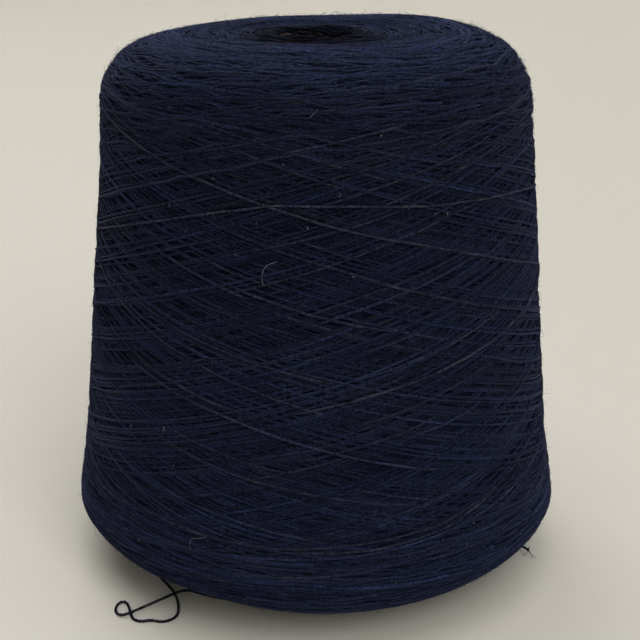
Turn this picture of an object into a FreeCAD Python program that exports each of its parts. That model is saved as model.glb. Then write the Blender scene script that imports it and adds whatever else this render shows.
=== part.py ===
import FreeCAD, Part
import math
import os
import Sketcher

# A machine-wound cone of wool yarn, standing on the wide end of its paperboard tube.
# Millimetres, +Z up. The origin is the centre of the tube's base, on the surface it stands on.

Vector = FreeCAD.Vector

doc = FreeCAD.newDocument("yarn_cone")

# Driving sizes: name, value, meaning. Each size is written here once.
SIZES = (
    ("tube_length", 170.0, "paperboard tube, base to nose"),
    ("tube_base_radius", 35.0, "outside of the tube at its base"),
    ("tube_nose_radius", 17.3, "outside of the tube at its nose"),
    ("tube_wall", 2.5, "paperboard wall, measured level"),
    ("nose_lip_width", 3.8, "rolled-in nose, from its outside in to its hole"),
    ("nose_lip_length", 8.0, "height of the rolled-in nose"),
    ("nose_rounding", 1.2, "rounding of the nose's two edges"),
    ("bore_clearance", 0.2, "yarn body to tube"),
    ("belly_radius", 79.3, "lower corner of the flank, before rounding"),
    ("belly_height", 19.4, "lower corner of the flank, before rounding"),
    ("belly_round", 7.5, "rounding at the belly"),
    ("belly_flare", 6.0, "belly corner out from the waist, where the flank's even taper starts"),
    ("waist_rise", 42.6, "waist above the belly corner"),
    ("waist_bridge", 15.0, "how softly the strands bridge the waist"),
    ("underside_inset", 8.5, "outer corner of the underside in from the belly corner"),
    ("underside_height", 9.2, "outer corner of the underside above the table"),
    ("underside_round", 8.0, "rounding at the underside"),
    ("underside_dish", 2.5, "rise of the underside from its corner to the tube"),
    ("shoulder_inset", 8.9, "upper corner of the flank in from the waist"),
    ("shoulder_round", 18.0, "rounding at the upper shoulder"),
    ("crest_inset", 22.4, "ring where the top turns down into the crater, in from that corner"),
    ("crest_rise", 1.5, "crest of the yarn above the tube's nose"),
    ("nose_stand", 1.0, "tube's nose above the yarn where they meet"),
    ("yarn_diameter", 0.8, "one strand of the yarn"),
    ("yarn_clearance", 0.3, "strand to the surface it lies on"),
    ("layer_gap", 0.6, "free gap between two strands or two layers"),
    ("wind_foot", 18.6, "lowest strand of the winding above the belly corner"),
    ("wind_head", 3.5, "highest strand of the winding below the shoulder's rounding"),
    ("reserve_foot", 1.2, "centre of the lowest reserve turn above the table"),
    ("reserve_lead", 3.0, "where the yarn comes down from the body, outside the tube's base"),
)

sheet = doc.addObject("Spreadsheet::Sheet", "sizes")
for row, (alias, value, meaning) in enumerate(SIZES, start=1):
    sheet.set("A%d" % row, alias)
    sheet.set("B%d" % row, str(value))
    sheet.set("C%d" % row, meaning)
    sheet.setAlias("B%d" % row, alias)
doc.recompute()


def size(alias):
    return float(sheet.get(alias))


def tube_outside(height):
    """Outer radius of the tube at a height."""
    taper = (size("tube_base_radius") - size("tube_nose_radius")) / size("tube_length")
    return size("tube_base_radius") - taper * height


TUBE_OUTSIDE = "(sizes.tube_base_radius - (sizes.tube_base_radius - sizes.tube_nose_radius)" \
               " * (%s) / sizes.tube_length)"


# Outlines turned about the upright axis

def origin_plane(body, role):
    """The body's own origin plane with this role."""
    for feature in body.Origin.OriginFeatures:
        if feature.Role == role:
            return feature
    raise ValueError("no origin plane " + role)


def outline(body, name, corners):
    """A closed outline in the XZ plane. Each corner is (radius, height) with the expressions that
    set them, and a height with no expression lies on the table."""
    sketch = body.newObject("Sketcher::SketchObject", name)
    sketch.AttachmentSupport = [(origin_plane(body, "XZ_Plane"), "")]
    sketch.MapMode = "FlatFace"
    count = len(corners)
    points = [Vector(c[0], c[1], 0) for c in corners]
    for first, last in zip(points, points[1:] + points[:1]):
        sketch.addGeometry(Part.LineSegment(first, last), False)
    for side in range(count):
        sketch.addConstraint(Sketcher.Constraint("Coincident", side, 2, (side + 1) % count, 1))
    for i, (radius, height, radius_rule, height_rule) in enumerate(corners):
        across = sketch.addConstraint(Sketcher.Constraint("DistanceX", -1, 1, i, 1, radius))
        sketch.renameConstraint(across, "radius_%d" % i)
        sketch.setExpression("Constraints.radius_%d" % i, radius_rule)
        if height_rule is None:
            sketch.addConstraint(Sketcher.Constraint("PointOnObject", i, 1, -1))
            continue
        above = sketch.addConstraint(Sketcher.Constraint("DistanceY", -1, 1, i, 1, height))
        sketch.renameConstraint(above, "height_%d" % i)
        sketch.setExpression("Constraints.height_%d" % i, height_rule)
    return sketch


def turned(body, name, sketch):
    """The outline turned once about the upright axis."""
    solid = body.newObject("PartDesign::Revolution", name)
    solid.Profile = sketch
    solid.ReferenceAxis = (sketch, ["V_Axis"])
    solid.Angle = 360.0
    doc.recompute()
    return solid


def ring_edge(shape, radius, height):
    """Name of the round edge nearest to this radius and height."""
    best = None
    for number, edge in enumerate(shape.Edges, start=1):
        if not isinstance(edge.Curve, Part.Circle):
            continue
        miss = math.hypot(edge.Curve.Radius - radius, edge.Curve.Center.z - height)
        if best is None or miss < best[0]:
            best = (miss, "Edge%d" % number)
    return best[1]


def rounded(body, name, base, rings, rule):
    """Round edges of a turned solid, each given by its radius and height."""
    names = [ring_edge(base.Shape, radius, height) for radius, height in rings]
    fillet = body.newObject("PartDesign::Fillet", name)
    fillet.Base = (base, names)
    fillet.Radius = size(rule)
    fillet.setExpression("Radius", "sizes." + rule)
    doc.recompute()
    return fillet


# The paperboard tube: a straight taper with one wall, its nose rolled in to a short round hole.

def make_cone_tube():
    body = doc.addObject("PartDesign::Body", "cone_tube")
    length = size("tube_length")
    lip_foot = length - size("nose_lip_length")
    inside_base = size("tube_base_radius") - size("tube_wall")
    inside_lip = tube_outside(lip_foot) - size("tube_wall")
    lip_rule = "sizes.tube_length - sizes.nose_lip_length"
    bore = size("tube_nose_radius") - size("nose_lip_width")
    bore_rule = "sizes.tube_nose_radius - sizes.nose_lip_width"
    corners = (
        (inside_base, 0, "sizes.tube_base_radius - sizes.tube_wall", None),
        (size("tube_base_radius"), 0, "sizes.tube_base_radius", None),
        (size("tube_nose_radius"), length, "sizes.tube_nose_radius", "sizes.tube_length"),
        (bore, length, bore_rule, "sizes.tube_length"),
        (bore, lip_foot, bore_rule, lip_rule),
        (inside_lip, lip_foot, TUBE_OUTSIDE % lip_rule + " - sizes.tube_wall", lip_rule),
    )
    wall = turned(body, "tube_wall_turned", outline(body, "tube_outline", corners))
    nose = ((size("tube_nose_radius"), length), (bore, length))
    rounded(body, "nose_edges", wall, nose, "nose_rounding")
    return body


# The wound yarn: a thick cone that flares a little at its belly, with full rounded ends and a
# shallow crater round the tube's nose.

WAIST_RADIUS = "sizes.belly_radius - sizes.belly_flare"
SHOULDER_RADIUS = WAIST_RADIUS + " - sizes.shoulder_inset"
CREST_RADIUS = SHOULDER_RADIUS + " - sizes.crest_inset"


def crest_height():
    return size("tube_length") + size("crest_rise")


def waist_height():
    return size("belly_height") + size("waist_rise")


def waist_radius():
    return size("belly_radius") - size("belly_flare")


def shoulder_radius():
    return waist_radius() - size("shoulder_inset")


def underside_radius():
    return size("belly_radius") - size("underside_inset")


def strand_seat(height):
    """Radius of the flank under a strand, which bridges the slight hollow at the waist."""
    flare = -size("belly_flare") / size("waist_rise")
    taper = -size("shoulder_inset") / (crest_height() - waist_height())
    above = height - waist_height()
    mean = (flare + taper) / 2
    change = (taper - flare) / 2
    return waist_radius() + mean * above + change * math.hypot(above, size("waist_bridge"))


def underside_at(radius):
    """Height of the dished underside at a radius."""
    foot = size("underside_height") + size("underside_dish")
    inner = tube_outside(foot) + size("bore_clearance")
    share = (radius - inner) / (underside_radius() - inner)
    return foot - size("underside_dish") * share


def make_yarn_body():
    body = doc.addObject("PartDesign::Body", "yarn_body")
    crest = crest_height()
    foot = size("underside_height") + size("underside_dish")
    rim = size("tube_length") - size("nose_stand")
    foot_rule = "sizes.underside_height + sizes.underside_dish"
    rim_rule = "sizes.tube_length - sizes.nose_stand"
    crest_rule = "sizes.tube_length + sizes.crest_rise"
    bore_rule = TUBE_OUTSIDE + " + sizes.bore_clearance"
    corners = (
        (tube_outside(foot) + size("bore_clearance"), foot, bore_rule % foot_rule, foot_rule),
        (underside_radius(), size("underside_height"),
         "sizes.belly_radius - sizes.underside_inset", "sizes.underside_height"),
        (size("belly_radius"), size("belly_height"), "sizes.belly_radius", "sizes.belly_height"),
        (waist_radius(), waist_height(), WAIST_RADIUS, "sizes.belly_height + sizes.waist_rise"),
        (shoulder_radius(), crest, SHOULDER_RADIUS, crest_rule),
        (shoulder_radius() - size("crest_inset"), crest, CREST_RADIUS, crest_rule),
        (tube_outside(rim) + size("bore_clearance"), rim, bore_rule % rim_rule, rim_rule),
    )
    solid = turned(body, "yarn_turned", outline(body, "yarn_outline", corners))
    rings = (
        ("underside_edge", underside_radius(), size("underside_height"), "underside_round"),
        ("belly_edge", size("belly_radius"), size("belly_height"), "belly_round"),
        ("shoulder_edge", shoulder_radius(), crest, "shoulder_round"),
    )
    for name, radius, height, rule in rings:
        solid = rounded(body, name, solid, ((radius, height),), rule)
    return body


# Strands: a path of arcs and straight ends, swept with the yarn's section. Eight sides are round
# enough for so thin a strand.

SECTION_SIDES = 8


def arc_from(start, tangent, end):
    """The arc that leaves start along tangent and reaches end."""
    chord = end.sub(start)
    side = chord.sub(Vector(tangent).multiply(chord.dot(tangent)))
    if side.Length < 1e-6:
        return Part.LineSegment(start, end).toShape()
    side.normalize()
    radius = chord.dot(chord) / (2 * chord.dot(side))
    half = math.atan2(chord.dot(side), chord.dot(tangent))
    reach = Vector(tangent).multiply(radius * math.sin(half))
    middle = start.add(reach).add(Vector(side).multiply(radius * (1 - math.cos(half))))
    return Part.Arc(start, middle, end).toShape()


def biarc(start, start_tangent, end, end_tangent):
    """Two arcs that join smoothly between two points with their directions."""
    chord = end.sub(start)
    both = start_tangent.add(end_tangent)
    a = 2 * (1 - start_tangent.dot(end_tangent))
    b = chord.dot(both)
    c = chord.dot(chord)
    reach = c / (2 * b) if a < 1e-9 else (math.sqrt(b * b + a * c) - b) / a
    joint = start.add(Vector(start_tangent).multiply(reach))
    joint = joint.add(end).sub(Vector(end_tangent).multiply(reach)).multiply(0.5)
    back = arc_from(end, Vector(end_tangent).multiply(-1), joint)
    middle = back.valueAt((back.FirstParameter + back.LastParameter) / 2)
    return [arc_from(start, start_tangent, joint), Part.Arc(joint, middle, end).toShape()]


def smooth_path(stations):
    """Biarcs through (point, direction) stations, with a straight end of one diameter each."""
    straight = size("yarn_diameter")
    first, first_way = stations[0]
    last, last_way = stations[-1]
    before = first.sub(Vector(first_way).multiply(straight))
    after = last.add(Vector(last_way).multiply(straight))
    edges = [Part.LineSegment(before, first).toShape()]
    for (start, way_out), (end, way_in) in zip(stations, stations[1:]):
        edges += biarc(start, way_out, end, way_in)
    edges.append(Part.LineSegment(last, after).toShape())
    return edges


def strand_section(edges):
    """The strand's section, square to the start of its first edge."""
    start = edges[0].valueAt(edges[0].FirstParameter)
    way = edges[0].tangentAt(edges[0].FirstParameter)
    ring = Part.Circle(start, way, size("yarn_diameter") / 2).toShape()
    return Part.makePolygon(ring.discretize(SECTION_SIDES + 1))


def swept(edges):
    """A strand along the edges."""
    return Part.Wire(edges).makePipeShell([strand_section(edges)], True, False)


def round_point(radius, angle, height):
    return Vector(radius * math.cos(angle), radius * math.sin(angle), height)


def direction(place, value, step=1e-5):
    """Unit direction in which a place moves as its value grows."""
    return place(value + step).sub(place(value - step)).normalize()


def least_gap(edges, spacing=0.8):
    """Least free gap of a strand to itself, on points along its path."""
    diameter = size("yarn_diameter")
    points = []
    for edge in edges:
        count = max(2, int(edge.Length / spacing))
        points += edge.discretize(count + 1)[:-1]
    cell = 4 * diameter
    cells = {}
    for number, point in enumerate(points):
        key = (int(point.x // cell), int(point.y // cell), int(point.z // cell))
        cells.setdefault(key, []).append(number)
    neighbours = [(i, j, k) for i in (-1, 0, 1) for j in (-1, 0, 1) for k in (-1, 0, 1)]
    apart = int(12 * diameter / spacing)
    least = cell
    for (x, y, z), numbers in cells.items():
        near = []
        for i, j, k in neighbours:
            near += cells.get((x + i, y + j, z + k), [])
        for one in numbers:
            for other in near:
                if other - one > apart:
                    least = min(least, points[one].distanceToPoint(points[other]))
    return least - diameter


# The outer layer: one strand that crosses the flank from foot to head and back, twelve times,
# each crossing a little short of a full turn. Strands that climb lie under those that come down.

CROSSINGS = 24
TURNS_PER_CROSSING = 23.0 / 24.0
TURN_BACK = math.radians(14.0)
WIND_START = math.radians(75.0)
SPANS = 4


def make_outer_winding():
    winding = doc.addObject("Part::Feature", "outer_winding")
    foot = size("belly_height") + size("wind_foot")
    head = crest_height() - size("shoulder_round") - size("wind_head")
    under = size("yarn_clearance") + size("yarn_diameter") / 2
    over = under + size("yarn_diameter") + size("layer_gap")
    sweep = 2 * math.pi * TURNS_PER_CROSSING
    climb = (head - foot) / (sweep - TURN_BACK)

    def ease(share):
        share = min(max(share, 0.0), 1.0)
        return share * share * (3 - 2 * share)

    def place(angle):
        crossing = min(max(int(angle // sweep), 0), CROSSINGS - 1)
        along = angle - crossing * sweep
        left = sweep - along
        if along < TURN_BACK:
            travelled = climb * along * along / (2 * TURN_BACK)
        elif left < TURN_BACK:
            travelled = head - foot - climb * left * left / (2 * TURN_BACK)
        else:
            travelled = climb * (along - TURN_BACK / 2)
        rising = crossing % 2 == 0
        height = foot + travelled if rising else head - travelled
        own, other = (under, over) if rising else (over, under)
        stand = own
        if along < TURN_BACK and crossing > 0:
            stand = other + (own - other) * ease((along + TURN_BACK) / (2 * TURN_BACK))
        if left < TURN_BACK and crossing < CROSSINGS - 1:
            stand = own + (other - own) * ease((TURN_BACK - left) / (2 * TURN_BACK))
        return round_point(strand_seat(height) + stand, WIND_START + angle, height)

    stations = []
    for crossing in range(CROSSINGS):
        begin = crossing * sweep
        angles = [begin, begin + TURN_BACK]
        for span in range(1, SPANS + 1):
            angles.append(begin + TURN_BACK + (sweep - 2 * TURN_BACK) * span / SPANS)
        stations += [(place(angle), direction(place, angle)) for angle in angles]
    finish = CROSSINGS * sweep
    stations.append((place(finish), direction(place, finish)))
    edges = smooth_path(stations)
    winding.Shape = swept(edges)
    print("outer winding: %d arcs, %.1f turns, least gap to itself %.2f mm"
          % (len(edges), CROSSINGS * TURNS_PER_CROSSING, least_gap(edges)))
    return winding


# The reserve turns: the yarn's first turns, round the bare foot of the tube under the yarn body.

RESERVE_TURNS = 4
RESERVE_END = math.radians(161.0)
LEAD_TURN = math.radians(12.5)
QUARTER = math.pi / 2


def reserve_place(angle):
    """Centre of the reserve turns, which come down the tube as the angle grows."""
    left = (RESERVE_END - angle) / (2 * math.pi)
    height = size("reserve_foot") + left * (size("yarn_diameter") + size("layer_gap"))
    stand = size("yarn_clearance") + size("yarn_diameter") / 2
    return round_point(tube_outside(height) + stand, angle, height)


def reserve_exit():
    """Point and level direction in which the yarn leaves the reserve turns."""
    way = direction(reserve_place, RESERVE_END)
    way = Vector(way.x, way.y, 0).normalize()
    return reserve_place(RESERVE_END).add(Vector(way).multiply(size("yarn_diameter"))), way


def make_reserve_turns():
    reserve = doc.addObject("Part::Feature", "reserve_turns")
    start = RESERVE_END - 2 * math.pi * RESERVE_TURNS
    lead_radius = size("tube_base_radius") + size("reserve_lead")
    lead_top = underside_at(lead_radius) - size("yarn_clearance") - size("yarn_diameter")
    stations = [(round_point(lead_radius, start - LEAD_TURN, lead_top), Vector(0, 0, -1))]
    for quarter in range(4 * RESERVE_TURNS):
        angle = start + QUARTER * quarter
        stations.append((reserve_place(angle), direction(reserve_place, angle)))
    stations.append((reserve_place(RESERVE_END), reserve_exit()[1]))
    edges = smooth_path(stations)
    reserve.Shape = swept(edges)
    print("reserve turns: %d arcs, %d turns, least gap to itself %.2f mm"
          % (len(edges), RESERVE_TURNS, least_gap(edges)))
    return reserve


# The loose tail: the yarn's free end, chosen point by point. It leaves the reserve turns, comes out
# at the front left, lies in a loop with a small eye, and goes back under to end bare at the right.

TAIL_POINTS = (
    (-46.8, -19.5, 0.9),
    (-53.2, -30.5, 1.0),
    (-48.9, -37.0, 0.6),
    (-44.9, -43.8, 0.5),
    (-42.9, -51.0, 0.5),
    (-42.6, -58.0, 0.5),
    (-46.9, -60.9, 0.5),
    (-50.4, -59.3, 0.5),
    (-54.0, -60.5, 0.5),
    (-56.6, -58.7, 0.5),
    (-58.0, -53.6, 0.5),
    (-59.7, -48.8, 0.5),
    (-62.2, -49.6, 0.5),
    (-62.7, -54.4, 0.5),
    (-60.2, -57.9, 1.0),
    (-56.3, -56.6, 1.9),
    (-51.6, -53.1, 2.3),
    (-46.4, -49.4, 2.9),
    (-41.0, -45.6, 3.2),
    (-35.6, -48.9, 3.2),
    (-28.5, -50.2, 2.2),
    (-16.0, -49.0, 0.6),
    (4.0, -50.2, 0.5),
    (26.0, -45.8, 0.5),
    (45.0, -36.0, 0.5),
    (57.0, -23.0, 0.9),
    (63.0, -13.2, 1.8),
    (68.8, -14.4, 2.4),
    (72.0, -20.0, 2.2),
)
TAIL_START_RUN = 16.0


def rounded_route(points):
    """Straight runs joined by arcs as large as their runs allow."""
    edges = []
    radii = []
    at = points[0]
    for before, corner, after in zip(points, points[1:], points[2:]):
        run_in = corner.sub(before)
        run_out = after.sub(corner)
        half = run_in.getAngle(run_out) / 2
        cut = 0.45 * min(run_in.Length, run_out.Length)
        radius = cut / math.tan(half)
        way_in = Vector(run_in).normalize()
        way_out = Vector(run_out).normalize()
        start = corner.sub(Vector(way_in).multiply(cut))
        end = corner.add(Vector(way_out).multiply(cut))
        inwards = Vector(way_out).sub(way_in).normalize()
        middle = corner.add(inwards.multiply(radius / math.cos(half) - radius))
        edges.append(Part.LineSegment(at, start).toShape())
        edges.append(Part.Arc(start, middle, end).toShape())
        radii.append(radius)
        at = end
    edges.append(Part.LineSegment(at, points[-1]).toShape())
    return edges, radii


def make_loose_tail():
    tail = doc.addObject("Part::Feature", "loose_tail")
    start, way = reserve_exit()
    second = start.add(Vector(way).multiply(TAIL_START_RUN))
    points = [start, second] + [Vector(*point) for point in TAIL_POINTS]
    edges, radii = rounded_route(points)
    tail.Shape = swept(edges)
    length = sum(edge.Length for edge in edges)
    section = Part.Face(strand_section(edges)).Area
    print("loose tail: length %.1f mm, volume %.2f mm3 against section times length %.2f mm3"
          % (length, tail.Shape.Volume, section * length))
    print("loose tail: starts", [round(c, 2) for c in start], [round(c, 2) for c in second])
    print("loose tail: bend radii", [round(radius, 1) for radius in radii])
    print("loose tail: least gap to itself %.2f mm" % least_gap(edges, 0.4))
    return tail


pieces = (
    make_cone_tube(),
    make_yarn_body(),
    make_outer_winding(),
    make_reserve_turns(),
    make_loose_tail(),
)
doc.recompute()

for item in doc.Objects:
    if "Invalid" in item.State or "Error" in item.State:
        raise RuntimeError(item.Name + " failed: " + str(item.State))

os.makedirs("parts", exist_ok=True)
for piece in pieces:
    piece.Label = piece.Name
    shape = piece.Shape
    if shape.isNull() or not shape.isValid() or len(shape.Solids) != 1:
        raise RuntimeError(piece.Label + " is not one valid solid")
    shape.exportStep("parts/%s.step" % piece.Label)
    box = shape.BoundBox
    print("%s: %.0f mm3, x %.1f to %.1f, y %.1f to %.1f, z %.1f to %.1f"
          % (piece.Label, shape.Volume, box.XMin, box.XMax, box.YMin, box.YMax, box.ZMin, box.ZMax))
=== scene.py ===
# %% [markdown]
# # A cone of navy wool yarn
# The object is a machine-wound cone: one very long strand of two-ply wool, cross-wound on a tapered
# paperboard tube. The CAD model gives the tube, the space that the wound yarn takes and the route
# of the loose end. This lesson builds the look around it: every strand that shows is real geometry.

# %% The fixed frame
import math

import bmesh
import bpy
import numpy as np
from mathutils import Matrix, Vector


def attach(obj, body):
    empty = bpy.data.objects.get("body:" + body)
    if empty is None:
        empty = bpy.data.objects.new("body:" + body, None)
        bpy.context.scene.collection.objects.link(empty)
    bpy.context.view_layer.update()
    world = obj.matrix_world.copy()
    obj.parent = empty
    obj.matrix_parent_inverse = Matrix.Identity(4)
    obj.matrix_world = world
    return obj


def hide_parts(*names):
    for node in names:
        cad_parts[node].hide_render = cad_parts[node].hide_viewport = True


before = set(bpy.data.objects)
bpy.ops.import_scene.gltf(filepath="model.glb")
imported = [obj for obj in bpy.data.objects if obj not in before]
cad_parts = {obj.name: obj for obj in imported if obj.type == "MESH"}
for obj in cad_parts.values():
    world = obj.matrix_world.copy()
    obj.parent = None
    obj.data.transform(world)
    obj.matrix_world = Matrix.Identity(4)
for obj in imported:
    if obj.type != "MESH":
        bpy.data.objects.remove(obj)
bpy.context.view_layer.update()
MM = 0.001
FULL_TURN = 2 * math.pi
random = np.random.default_rng(11)
print("CAD nodes:", sorted(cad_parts))

# %% [markdown]
# ## Camera
# The photograph was taken from a little above the cone, about 40 cm away. The place, the tilt and
# the lens below were fitted to the cone's outline and to the directions of its strands.

# %% Camera
camera_data = bpy.data.cameras.new("camera")
camera_data.sensor_width = 36.0
camera_data.lens = 72.06
camera_data.clip_start = 0.01
camera = bpy.data.objects.new("camera", camera_data)
camera.location = (0.00125, -0.4011, 0.2178)
camera.rotation_euler = (math.radians(70.73), 0.0, 0.0)
bpy.context.scene.collection.objects.link(camera)
bpy.context.scene.camera = camera
print("camera lens %.1f mm" % camera_data.lens)

# %% [markdown]
# ## Materials: small helpers
# Colours are written as sRGB hex values, the way a colour picker shows them, and Blender's shaders
# want linear light, so one function converts them. Another adds any node with its settings and
# links, so that a material reads as a list of what feeds what.

# %% Colour and node helpers
def linear(hex_colour):
    """Linear RGBA from an sRGB hex colour."""
    channels = [int(hex_colour[i:i + 2], 16) / 255 for i in (1, 3, 5)]
    return [c / 12.92 if c <= 0.04045 else ((c + 0.055) / 1.055) ** 2.4 for c in channels] + [1.0]


def add_node(material, kind, settings=None, **inputs):
    """A shader node with its settings. An input is a value, or a socket to link from.

    An input goes by its name, or by its number, as in_0, where several share a name."""
    node = material.node_tree.nodes.new(kind)
    for name, value in (settings or {}).items():
        setattr(node, name, value)
    for name, value in inputs.items():
        key = int(name[3:]) if name.startswith("in_") else name.replace("_", " ")
        if isinstance(value, bpy.types.NodeSocket):
            material.node_tree.links.new(value, node.inputs[key])
        else:
            node.inputs[key].default_value = value
    return node


def maths(material, operation, *values, clamp=False):
    """The result of a maths node. A value is a number, or a socket to link from."""
    node = add_node(material, "ShaderNodeMath", {"operation": operation, "use_clamp": clamp},
                    **{"in_%d" % i: value for i, value in enumerate(values)})
    return node.outputs[0]


def new_material(name):
    """An empty node material."""
    material = bpy.data.materials.new(name)
    material.use_nodes = True
    material.node_tree.nodes.clear()
    return material


def add_shader(material, **inputs):
    """The Principled shader that a material's nodes end in."""
    shader = add_node(material, "ShaderNodeBsdfPrincipled", **inputs)
    add_node(material, "ShaderNodeOutputMaterial", Surface=shader.outputs["BSDF"])


# %% [markdown]
# ## The table and the light
# A plain pale table under soft light, as in a small studio. Its edge sweeps up all round to a low
# backdrop, so that every side of the cone is seen against the same pale board. The table's
# brightness round the cone and the cone's own shading were measured in the photograph and matched
# with lamps at many places: most of the light comes from a broad ceiling panel, the rest from the
# front, a little right, and a weak lamp behind, a little left, lights the crest.

# %% Table and lamps
def show(data, name):
    """An object in the scene with a mesh or a lamp."""
    thing = bpy.data.objects.new(name, data)
    bpy.context.scene.collection.objects.link(thing)
    return thing


def mesh_from(shape, name):
    """The finished bmesh as an object."""
    mesh = bpy.data.meshes.new(name)
    shape.to_mesh(mesh)
    shape.free()
    return show(mesh, name)


def spun(line, steps):
    """A bmesh of a line, radius and height in metres, spun once round the axis."""
    shape = bmesh.new()
    verts = [shape.verts.new((r, 0.0, z)) for r, z in line]
    edges = [shape.edges.new(pair) for pair in zip(verts, verts[1:])]
    bmesh.ops.spin(shape, geom=verts + edges, cent=(0, 0, 0), axis=(0, 0, 1), angle=FULL_TURN,
                   steps=steps, use_merge=True)
    bmesh.ops.remove_doubles(shape, verts=shape.verts, dist=1e-6)
    for face in shape.faces:
        face.smooth = True
    return shape


# Eggshell paint on board: pale, and matt enough to mirror nothing.
painted = new_material("painted_board")
add_shader(painted, Base_Color=linear("#e5e2da"), Roughness=0.6)

BACKDROP_AT, BACKDROP_TOP = 2.3, 1.1    # m: its distance from the axis and its height
SWEEP = 0.4          # m: the radius of the bend between table and backdrop
table_line = [(0.0, 0.0), (0.5, 0.0), (1.2, 0.0)]
for degrees in range(0, 91, 10):
    bend = math.radians(degrees)
    table_line.append((BACKDROP_AT - SWEEP + SWEEP * math.sin(bend),
                       SWEEP - SWEEP * math.cos(bend)))
table = mesh_from(spun(table_line + [(BACKDROP_AT, BACKDROP_TOP)], 72), "table")
table.data.materials.append(painted)


def add_lamp(name, place, aim, across, power):
    """A square soft lamp, metres across and watts strong, at a place and pointing at a spot."""
    lamp = bpy.data.lights.new(name, "AREA")
    lamp.shape = "SQUARE"
    lamp.size = across
    lamp.energy = power
    lamp.color = linear("#fffdf9")[:3]
    holder = show(lamp, name)
    holder.location = place
    holder.rotation_euler = (Vector(aim) - Vector(place)).to_track_quat("-Z", "Y").to_euler()


add_lamp("lamp_ceiling", (0.2, -0.3, 4.0), (0.0, 0.0, 0.0), 4.0, 85.0)
add_lamp("lamp_front", (1.1, -2.5, 2.4), (0.0, 0.0, 0.05), 2.0, 49.0)
add_lamp("lamp_back", (-1.0, 2.4, 2.2), (0.0, 0.0, 0.1), 2.0, 28.0)
world = bpy.data.worlds.new("studio")
world.use_nodes = True
room = world.node_tree.nodes["Background"]
room.inputs["Color"].default_value = linear("#f4f5f7")
room.inputs["Strength"].default_value = 0.01
bpy.context.scene.world = world
bpy.context.scene.view_settings.view_transform = "Standard"
print("table: %d faces, 3 lamps" % len(table.data.polygons))

# %% [markdown]
# ## Navy wool
# Dyed worsted wool is matt and a little hairy. Two plies are twisted together, so along each strand
# runs a slanting groove, and bundles of fibres catch the light here and there, as painted
# highlights.
# Where a strand stands proud, its loose fibre ends scatter the light and make it look greyer, not
# bluer, as a painted sheen. The strands carry their length and their turn as UV coordinates in
# millimetres, and the groove and the fibres are drawn on them. Two attributes go with them: the
# tone, because dye takes unevenly, and the painted sheen of loose fibre ends.

# %% Wool material
PLY_PITCH = 2.6      # mm for one turn of the two plies, which gives a bump each 1.3 mm
FIBRE = 0.7          # mm along a bundle of fibres; single ones, at 0.02 mm, are too fine to show
BUNDLES = 1.7        # bundles of fibres side by side round a strand, as few as can show
DULL, BRIGHT = 0.22, 1.68    # how much of the dye's colour comes back between and on the bundles, as painted shade and painted highlight
PLY_LIGHT = 0.15     # how much more comes back on top of a ply, as a painted highlight
BUNDLE_BUMP = 2.0    # how far the bundles stand out, beside the plies' 1
BUMP = 0.0002        # m that the plies stand out


def wool_material(name, hex_colour, sheen_colour, groove, sheen):
    """Matt dyed wool whose plies twist along the strand, with a painted sheen of loose fibre ends.

    The groove between the plies is a bump from 0 to 1. The sheen is the soft light that standing
    fibres scatter where the surface turns away."""
    material = new_material(name)
    uv = add_node(material, "ShaderNodeUVMap", {"uv_map": "UVMap"})
    axes = add_node(material, "ShaderNodeSeparateXYZ", Vector=uv.outputs["UV"])
    turn = maths(material, "MULTIPLY_ADD", axes.outputs["X"], 1 / PLY_PITCH, axes.outputs["Y"])
    wave = maths(material, "COSINE", maths(material, "MULTIPLY", turn, FULL_TURN))
    ply = maths(material, "ABSOLUTE", wave)
    streak_map = add_node(material, "ShaderNodeMapping", Vector=uv.outputs["UV"],
                          Scale=(1 / FIBRE, BUNDLES, 1.0))
    streaks = add_node(material, "ShaderNodeTexNoise", Vector=streak_map.outputs["Vector"],
                       Scale=1.0, Detail=2.0, Roughness=0.7)
    height = maths(material, "MULTIPLY_ADD", streaks.outputs["Fac"], BUNDLE_BUMP, ply)
    bump = add_node(material, "ShaderNodeBump", Strength=groove, Distance=BUMP, Height=height)
    # Painted highlight and shade: lit bundles and ply tops are painted lighter, the gaps between
    # them darker.
    catch = add_node(material, "ShaderNodeMapRange", {"clamp": True}, Value=streaks.outputs["Fac"],
                     From_Min=0.35, From_Max=0.65, To_Min=DULL, To_Max=BRIGHT)
    lit = maths(material, "MULTIPLY_ADD", ply, PLY_LIGHT, catch.outputs[0])
    tone = add_node(material, "ShaderNodeAttribute", {"attribute_name": "tone"})
    painted_sheen = add_node(material, "ShaderNodeAttribute", {"attribute_name": "painted_sheen"})
    colour = add_node(material, "ShaderNodeVectorMath", {"operation": "SCALE"},
                      in_0=linear(hex_colour)[:3],
                      in_3=maths(material, "MULTIPLY", lit, tone.outputs["Fac"]))
    # Painted sheen: a grey mixed into the colour where bundles catch the light.
    ends = maths(material, "MULTIPLY", catch.outputs[0], painted_sheen.outputs["Fac"], clamp=True)
    sheened = add_node(material, "ShaderNodeMix", {"data_type": "RGBA"}, in_0=ends,
                    in_6=colour.outputs["Vector"], in_7=linear(sheen_colour))
    add_shader(material, Base_Color=sheened.outputs[2], Normal=bump.outputs["Normal"], Roughness=0.9,
               Specular_IOR_Level=0.08, Sheen_Weight=sheen, Sheen_Roughness=0.35,
               Sheen_Tint=linear("#7f8fcf"))
    return material


navy_wool = wool_material("navy_worsted_wool", "#0e1326", "#3d404d", 0.5, 0.2)
print("wool: one turn of the plies each %.1f mm" % PLY_PITCH)

# %% [markdown]
# ## Rolled paperboard
# The tube is rolled from strips of dark grey-brown recycled board. It is matt and smooth, with
# short darker fibres that lie round the tube, and the edge of the last strip runs round it as a
# spiral line. The pattern reads Object coordinates, so it goes right round and through the wall.
# The tube's shape comes from the CAD model as it is; only its material slots are filled.

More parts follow.
